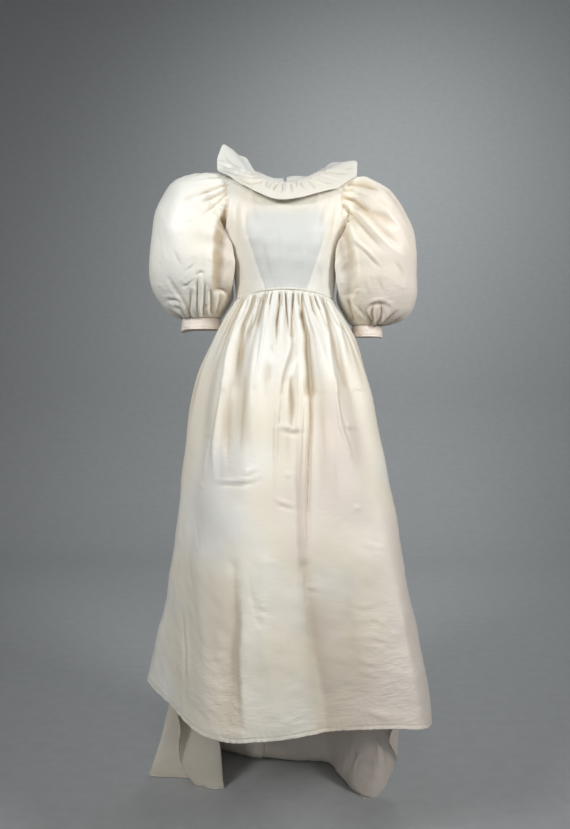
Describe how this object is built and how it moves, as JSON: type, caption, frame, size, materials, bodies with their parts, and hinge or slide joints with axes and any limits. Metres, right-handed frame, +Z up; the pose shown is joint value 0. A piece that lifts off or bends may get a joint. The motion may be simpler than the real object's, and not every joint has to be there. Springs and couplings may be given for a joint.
{
  "type": "wedding dress",
  "caption": "Worn wedding dress in crisp taffeta: gathered neck ruffle, darted bodice with back zip, puffed sleeves in plain cuffs, and a gathered skirt, high in front, with a train.",
  "frame": {"origin": "midway between the two shoulder seams, where the wearer's shoulders hold the dress", "axes": "+Z up, front of the dress towards -Y, +X to the right as it is looked at from the front"},
  "size_m": [0.6499, 0.8302, 1.5319],
  "materials": {
    "taffeta": "ivory silk taffeta, soft sheen",
    "zip_tape": "woven polyester tape, ivory",
    "zip_metal": "ivory enamel, satin",
    "loop_thread": "thread covered cord, matt"
  },
  "bodies": {
    "dress": {"bodice_front": "taffeta", "bodice_back_left": "taffeta", "bodice_back_right": "taffeta", "dart_left": "taffeta", "dart_right": "taffeta", "sleeve_left": "taffeta", "sleeve_right": "taffeta", "cuff_left": "taffeta", "cuff_right": "taffeta", "neck_ruffle": "taffeta", "skirt_front": "taffeta", "skirt_back_left": "taffeta", "skirt_back_right": "taffeta", "zip_tape": "zip_tape", "zip_slider": "zip_metal", "train_loop": "loop_thread"},
    "pull": {"zip_pull": "zip_metal"}
  },
  "joints": [
    {"name": "pull_hinge", "type": "hinge", "parent": "dress", "child": "pull", "pos_m": [0, 0.08676, -0.03831], "axis": [1, 0, 0], "range_deg": [0, 130]}
  ]
}
